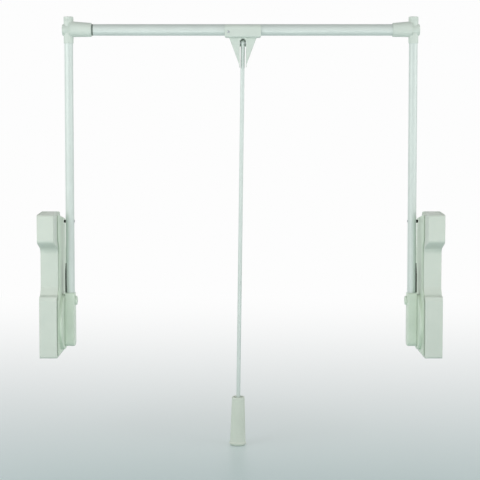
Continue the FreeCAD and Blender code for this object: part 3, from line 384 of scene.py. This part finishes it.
def skin(rings, start, end):
    """Vertices and faces over a stack of rings (rings, steps, 3), closed by fans to start and end.

    Each face joins two neighbouring steps of two neighbouring rings.  Seen from the stack's end, a ring
    runs anticlockwise, which makes the faces point outwards.
    """
    count, steps = rings.shape[:2]
    low = np.arange(count * steps).reshape(count, steps)
    high = np.roll(low, -1, axis=1)
    sides = np.stack([low[:-1], high[:-1], high[1:], low[1:]], axis=-1).reshape(-1, 4)
    first = np.stack([np.full(steps, count * steps), high[0], low[0]], axis=-1)
    last = np.stack([np.full(steps, count * steps + 1), low[-1], high[-1]], axis=-1)
    points = np.vstack([rings.reshape(-1, 3), start, end])
    return points, sides.tolist() + first.tolist() + last.tolist()


def middle(node, way=(0.0, 0.0, 0.0)):
    """Middle of a CAD node's box, or of the side of it that the axis way points at; millimetres."""
    low, high = (np.array(corner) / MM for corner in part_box(node))
    return (low + high) / 2 + np.array(way) * (high - low) / 2


AROUND = 72                # steps round a screw
TURN = np.linspace(0.0, 2 * math.pi, AROUND, endpoint=False)
NEVER_ZERO = 1e-9          # keeps a division finite
RECESS_WALL = ((0.80, 1.00), (0.88, 0.92), (0.97, 0.10))   # shares of its edge and depth, floor first
RECESS_LIP = 1.04          # the face starts this much wider than the recess's edge
FACE_STEPS = (0.0, 0.35, 0.7, 1.0)     # shares of the way from there to the rounding
ROUNDING_STEPS = 5         # steps over the head's rounded edge


def hexagon(across):
    """Edge of a hexagon, as the distance from its middle at each turn.

    It is half the width across flats, divided by the cosine of the angle to the nearest flat's middle.
    """
    return across / 2 / np.cos(np.mod(TURN, math.pi / 3) - math.pi / 6)


def cross(reach, width):
    """Edge of a cross of two bars, as the distance from its middle at each turn.

    A bar's edge is its end, reach over |cos|, or its side, half the width over |sin|, whichever is
    nearer.  The cross takes the farther of its two bars.
    """
    c = np.abs(np.cos(TURN)) + NEVER_ZERO
    s = np.abs(np.sin(TURN)) + NEVER_ZERO
    return np.maximum(np.minimum(reach / c, width / 2 / s), np.minimum(reach / s, width / 2 / c))


def driven_screw(tip, way, edge, depth, head, rounding, crown, shank):
    """Screw turned round the line through tip along way, which points out of its head; millimetres.

    It is a stack of rings, each a distance from the line at every turn and a height on it.  They climb
    the recess by shares of its edge and its depth, cross the face from just outside the edge to the
    circle of radius head less rounding, while the height falls by crown times the square of their share
    of that radius, go round a quarter circle of radius rounding, and follow the shank's pairs of radius
    and height.  A pole closes each end.
    """
    rim = head - rounding
    recess = [(share * edge, -fall * depth) for share, fall in RECESS_WALL]
    out = [RECESS_LIP * edge * (1 - m) + rim * m for m in FACE_STEPS]
    face = [(r, -crown * (r / rim) ** 2) for r in out]
    bow = np.linspace(0.0, math.pi / 2, ROUNDING_STEPS + 1)[1:]
    round_off = [(rim + rounding * math.sin(b), -crown - rounding * (1 - math.cos(b))) for b in bow]
    rings = recess + face + round_off + list(shank)
    radius = np.array([np.broadcast_to(r, AROUND) for r, _ in rings])
    height = np.array([np.broadcast_to(h, AROUND) for _, h in rings])
    along = np.array(way, dtype=float)
    flat = np.array((0.0, 0.0, 1.0))
    wall = (np.array(tip) + height[..., None] * along + radius[..., None]
            * (np.cos(TURN)[:, None] * flat + np.sin(TURN)[:, None] * np.cross(flat, along)))
    return skin(wall, tip + height[0, 0] * along, tip + height[-1, 0] * along)


# Screws, in millimetres: a hexagon by its width across flats, a cross by the reach and width of a bar.
CLAMP_SCREW = dict(edge=hexagon(6.0), depth=2.8, head=9.3, rounding=2.0, crown=0.0,
                   shank=((9.3, -4.45), (9.1, -4.6), (3.0, -4.62), (3.0, -5.2), (2.8, -5.35)))
LOCK_SCREW = dict(edge=hexagon(2.5), depth=1.6, head=2.5, rounding=0.35, crown=0.0,
                  shank=((2.5, -2.5), (1.7, -3.15)))
SHELL_SCREW = dict(edge=cross(2.2, 1.0), depth=0.9, head=3.6, rounding=0.5, crown=0.15,
                   shank=((3.6, -1.2), (3.5, -1.3), (1.9, -1.32), (1.9, -12.6), (0.9, -13.8)))
BRACKET_SCREW = dict(edge=cross(1.5, 0.7), depth=0.9, head=2.4, rounding=0.4, crown=0.15,
                     shank=((2.4, -3.9), (1.2, -4.6)))
SHELL_SCREW_PLACES = ((-72.0, 200.0), (58.0, 120.0), (84.0, -50.0))    # Y and Z of each
TO_FRONT = (0.0, -1.0, 0.0)


def fit_screws():
    """Hex socket screws in the levers and connectors, cross recess screws in the shells and the bracket."""
    for side, sign in zip(SIDES, (-1.0, 1.0)):
        to_wall, to_rod = (sign, 0.0, 0.0), (-sign, 0.0, 0.0)
        node = side + "_clamp_screw"
        clamp = driven_screw(middle(node, to_rod), to_rod, **CLAMP_SCREW)
        put_in(side + "_clamp_cap_screw", [clamp], lever_paint, side + "_arm", node)
        node = side + "_lock_screw"
        lock = driven_screw(middle(node, to_wall), to_wall, **LOCK_SCREW)
        put_in(side + "_lock_grub_screw", [lock], plate_zinc, side + "_arm", node)
        node = side + "_shell_screws"
        back = middle(node, to_wall)[0]
        shell = [driven_screw((back, y, z), to_wall, **SHELL_SCREW) for y, z in SHELL_SCREW_PLACES]
        put_in(side + "_shell_pan_screws", shell, plate_zinc, side + "_housing", node)
    saddle = driven_screw(middle("bracket_screw", TO_FRONT), TO_FRONT, **BRACKET_SCREW)
    put_in("bracket_pan_screw", [saddle], plate_zinc, "right_arm", "bracket_screw")


SPRING_RADIUS = 4.1        # to the middle of the wire; this block is in millimetres
SPRING_WIRE = 1.8          # across
SPRING_PITCH = 1.9
SPRING_SHIFT = 8.0         # from the crank's middle, on either side
STEM = 8.0                 # straight wire between a hook and the turns
STEM_RISE = 5.0            # climb of the quarter turn that leads into them
HOOK_TURN = math.radians(285)
HOOK_STEPS = 30            # steps along a hook, a stem, a quarter turn and a turn, and round the wire
STEM_STEPS = 4
RISE_STEPS = 9
TURN_STEPS = 18
WIRE_STEPS = 8
NEVER_AHEAD = (-1.0, 0.8, 1.0)     # no stretch of the wire runs this way


def wound_spring(x, y, low, high):
    """Tension spring between a pin at height low and one at height high, both along X; millimetres.

    Its path is a hook, most of a circle round the pin in the YZ plane, a straight stem, a quarter turn
    in which the climb dies away as the turning sets in (climb 1 - (1 - s) squared, turning s squared),
    the close wound turns, a whole number of them that climb by about SPRING_PITCH each, and the same in
    reverse at the top.  The wire is a circle carried along that path, in axes square to it: the path's
    direction crossed with NEVER_AHEAD, and the direction crossed with that.
    """
    radius, stem, rise = SPRING_RADIUS, STEM, STEM_RISE
    length = high - low - 2 * (rise + stem)
    turns = round(length / SPRING_PITCH)
    climb = length / turns
    s = np.linspace(0.0, 1.0, RISE_STEPS, endpoint=False)
    set_in, die_out = math.pi / 2 * s ** 2, math.pi / 2 * (1 - (1 - s) ** 2)
    hook = np.linspace(0.0, HOOK_TURN, HOOK_STEPS)
    straight = np.linspace(0.0, stem, STEM_STEPS, endpoint=False)
    coil = np.linspace(0.0, 2 * math.pi * turns, TURN_STEPS * turns, endpoint=False)
    path = np.hstack([np.stack(np.broadcast_arrays(*part)) for part in (
        (0.0, radius * np.cos(hook[:0:-1]), low - radius * np.sin(hook[:0:-1])),
        (0.0, radius, low + straight),
        (radius * np.sin(set_in), radius * np.cos(set_in), low + stem + rise * (1 - (1 - s) ** 2)),
        (radius * np.cos(coil), -radius * np.sin(coil), low + stem + rise + climb * coil / (2 * math.pi)),
        (radius * np.cos(die_out), -radius * np.sin(die_out), high - stem - rise + rise * s ** 2),
        (0.0, -radius, high - stem + straight),
        (0.0, -radius * np.cos(hook), high + radius * np.sin(hook)))]).T
    ahead = np.gradient(path, axis=0)
    ahead /= np.linalg.norm(ahead, axis=1)[:, None]
    side = np.cross(ahead, NEVER_AHEAD)
    side /= np.linalg.norm(side, axis=1)[:, None]
    above = np.cross(ahead, side)
    path += (x, y, 0.0)
    bow = np.linspace(0.0, 2 * math.pi, WIRE_STEPS, endpoint=False)[:, None]
    rings = path[:, None] + SPRING_WIRE / 2 * (np.cos(bow) * side[:, None] + np.sin(bow) * above[:, None])
    return skin(rings, path[0], path[-1])


def fit_springs():
    """Two springs in each housing, on either side of the crank, from its pin to the anchor post."""
    for side in SIDES:
        x = middle(side + "_crank")[0]
        _, y, low = middle(side + "_crank_pin")
        high = middle(side + "_spring_anchor")[2]
        pair = [wound_spring(x + shift, y, low, high) for shift in (-SPRING_SHIFT, SPRING_SHIFT)]
        put_in(side + "_wound_springs", pair, wire_steel, side + "_housing", side + "_springs")


fit_screws()
fit_springs()


# ---- stage: floor, light, camera ----------------------------------------------
def floor_paper():
    """Smooth grey-green paper with a low sheen, which fades to white in the distance as air does.

    The share of white is 1 - (1 - f) squared, where f grows evenly from FADE_START to FADE_END metres
    from the middle, with X divided by FADE_STRETCH.  Only the eye and reflections meet the white, so it
    puts no light on the object.  From underneath, the eye looks through the sheet.
    """
    material, tree = blank("studio_paper")
    place = add(tree, "TexCoord").outputs["Object"]
    x, y = FLOOR_MIDDLE
    centred = add(tree, "Mapping", {"Vector": place, "Location": (-x / FADE_STRETCH, -y, 0.0),
                                    "Scale": (1 / FADE_STRETCH, 1.0, 0.0)}).outputs["Vector"]
    distance = add(tree, "VectorMath", {0: centred}, operation="LENGTH").outputs["Value"]
    near = add(tree, "MapRange", {"Value": distance, "From Min": FADE_START, "From Max": FADE_END,
                                  "To Min": 1.0, "To Max": 0.0}).outputs["Result"]
    grey = add(tree, "Math", {0: near, 1: near}, operation="MULTIPLY").outputs["Value"]
    far = add(tree, "Math", {0: 1.0, 1: grey}, operation="SUBTRACT").outputs["Value"]
    share = add(tree, "Math", {0: far, 1: seen_share(tree)}, operation="MULTIPLY").outputs["Value"]
    matt = add(tree, "BsdfDiffuse", {"Color": srgb("C6DBDB")})
    sheen = add(tree, "BsdfAnisotropic", {"Color": srgb("FFFFFF"), "Roughness": SHEEN_ROUGHNESS})
    paper = add(tree, "MixShader", {"Fac": FLOOR_SHEEN, 1: matt.outputs["BSDF"], 2: sheen.outputs["BSDF"]})
    air = add(tree, "Emission", {"Color": srgb(AIR_WHITE)})
    mixed = add(tree, "MixShader", {"Fac": share, 1: paper.outputs["Shader"], 2: air.outputs["Emission"]})
    under = add(tree, "NewGeometry").outputs["Backfacing"]
    eye = add(tree, "LightPath").outputs["Is Camera Ray"]
    below = add(tree, "Math", {0: under, 1: eye}, operation="MULTIPLY").outputs["Value"]
    clear = add(tree, "BsdfTransparent").outputs["BSDF"]
    sheet = add(tree, "MixShader", {"Fac": below, 1: mixed.outputs["Shader"], 2: clear})
    add(tree, "OutputMaterial", {"Surface": sheet.outputs["Shader"]})
    return material


def lay_floor():
    """Square floor just under the lowest point of the object."""
    x, y = FLOOR_MIDDLE
    z = GROUND_Z - FLOOR_GAP
    corners = [(x + i * FLOOR_HALF, y + j * FLOOR_HALF, z) for i, j in ((-1, -1), (1, -1), (1, 1), (-1, 1))]
    mesh = bpy.data.meshes.new("studio_floor")
    mesh.from_pydata(corners, [], [(0, 1, 2, 3)])
    mesh.materials.append(floor_paper())
    floor = bpy.data.objects.new("studio_floor", mesh)
    bpy.context.scene.collection.objects.link(floor)


def white_air():
    """White to the eye and in reflections, a soft light on everything else.

    The soft light goes evenly from ROOM_LIGHT to BACK_LIGHT while the direction's Y goes from -SIDE_TURN
    to SIDE_TURN.  A dark ceiling closes the studio: both fall along a smooth step as the direction
    turns up.
    """
    world = bpy.data.worlds.new("studio_air")
    world.use_nodes = True
    tree = world.node_tree
    tree.nodes.clear()
    direction = add(tree, "TexCoord").outputs["Generated"]
    axes = add(tree, "SeparateXYZ", {"Vector": direction}).outputs
    level = add(tree, "MapRange", {"Value": axes["Y"], "From Min": -SIDE_TURN, "From Max": SIDE_TURN,
                                   "To Min": ROOM_LIGHT, "To Max": BACK_LIGHT}).outputs["Result"]
    start, end = CEILING_FALL
    roof = add(tree, "MapRange", {"Value": axes["Z"], "From Min": start, "From Max": end, "To Min": 1.0,
                                  "To Max": CEILING_LIGHT}, interpolation_type="SMOOTHSTEP")
    dim = add(tree, "Math", {0: level, 1: roof.outputs["Result"]}, operation="MULTIPLY").outputs["Value"]
    soft = add(tree, "Background", {"Color": srgb("FFFFFF"), "Strength": dim}).outputs["Background"]
    start, end = CEILING_FADE
    pale = add(tree, "MapRange", {"Value": axes["Z"], "From Min": start, "From Max": end, "To Min": 1.0,
                                  "To Max": CEILING_TONE}, interpolation_type="SMOOTHSTEP")
    white = add(tree, "Background", {"Color": srgb(AIR_WHITE),
                                     "Strength": pale.outputs["Result"]}).outputs["Background"]
    mixed = add(tree, "MixShader", {"Fac": seen_share(tree), 1: soft, 2: white})
    add(tree, "OutputWorld", {"Surface": mixed.outputs["Shader"]})
    bpy.context.scene.world = world


def softbox(name, place, aim, width, height, power):
    """Rectangular lamp at place, turned to face aim; it lights and is mirrored, but isn't seen itself."""
    lamp = bpy.data.lights.new(name, "AREA")
    lamp.shape = "RECTANGLE"
    lamp.size = width
    lamp.size_y = height
    lamp.energy = power
    holder = bpy.data.objects.new(name, lamp)
    holder.location = place
    holder.rotation_euler = (Vector(aim) - Vector(place)).to_track_quat("-Z", "Y").to_euler()
    holder.visible_camera = False
    bpy.context.scene.collection.objects.link(holder)


def place_camera():
    """Camera straight in front of the object, above the middle of its height and tipped down a little."""
    camera = bpy.data.cameras.new("studio_camera")
    camera.sensor_width = SENSOR
    camera.lens = FOCAL_PIXELS / IMAGE_SIZE * SENSOR
    camera.shift_x = SHIFT_X
    camera.shift_y = SHIFT_Y
    camera.clip_start = CLIP_NEAR
    camera.clip_end = CLIP_FAR
    holder = bpy.data.objects.new("studio_camera", camera)
    holder.location = CAMERA_PLACE
    holder.rotation_euler = (math.pi / 2 - CAMERA_PITCH, 0.0, 0.0)
    bpy.context.scene.collection.objects.link(holder)
    bpy.context.scene.camera = holder


lay_floor()
white_air()
softbox("left_softbox", place=(-0.95, -1.05, 0.80), aim=(0.10, 0.0, 0.30), width=1.2, height=1.2, power=8.0)
softbox("right_softbox", place=(1.95, -0.65, 0.80), aim=(0.73, 0.0, 0.30), width=1.2, height=1.2, power=6.0)
# The low one lies on the floor in front of the object and faces up, so that undersides aren't black.
softbox("low_softbox", place=(MIDDLE_X, -1.15, GROUND_Z), aim=(MIDDLE_X, -1.15, 1.0),
        width=2.0, height=0.6, power=8.0)
place_camera()
bpy.context.scene.view_settings.view_transform = "Standard"
